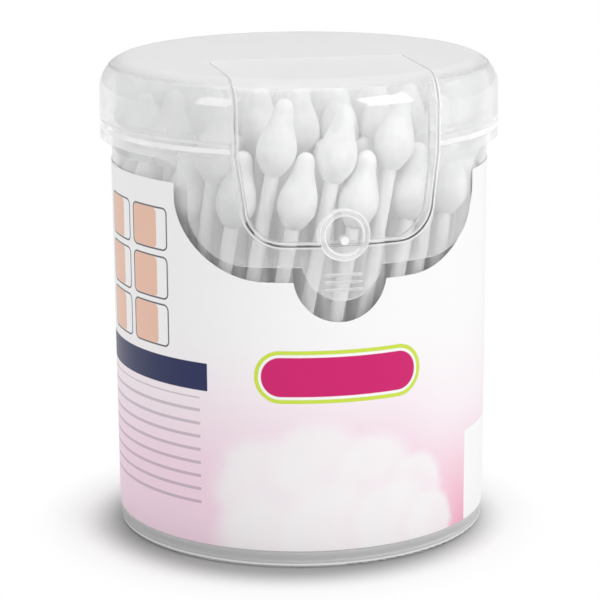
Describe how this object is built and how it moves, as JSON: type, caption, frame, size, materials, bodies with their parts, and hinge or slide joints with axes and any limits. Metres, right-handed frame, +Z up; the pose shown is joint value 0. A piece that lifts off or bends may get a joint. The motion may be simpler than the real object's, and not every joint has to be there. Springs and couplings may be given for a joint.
{
  "type": "cotton swab tub",
  "caption": "Clear round tub of cotton swabs with a wrap label, a press-on cap with a front bib and push tab, and a flip door hinged in the cap.",
  "frame": {"origin": "middle of the foot ring, on the surface that the tub stands on", "axes": "+Z is up along the tub, -Y is the front, with the flip door and the push tab, and +X is to the right of someone who faces the front"},
  "size_m": [0.072, 0.0728, 0.0859],
  "materials": {
    "tub_plastic": "clear glossy moulded plastic",
    "cap_plastic": "clear glossy moulded plastic",
    "label_film": "satin printed film",
    "paper_stick": "matte rolled paper",
    "cotton": "soft wound cotton"
  },
  "bodies": {
    "tub": {"tub": "tub_plastic", "label": "label_film", "paper_sticks": "paper_stick", "cotton_tips": "cotton"},
    "cap": {"cap": "cap_plastic"},
    "door": {"flip_door": "cap_plastic"}
  },
  "joints": [
    {"name": "cap_lift", "type": "slide", "parent": "tub", "child": "cap", "axis": [0, 0, 1], "range_m": [0, 0.045]},
    {"name": "door_hinge", "type": "hinge", "parent": "cap", "child": "door", "pos_m": [0, -0.006, 0.0859], "axis": [-1, 0, 0], "range_deg": [0, 160]}
  ]
}
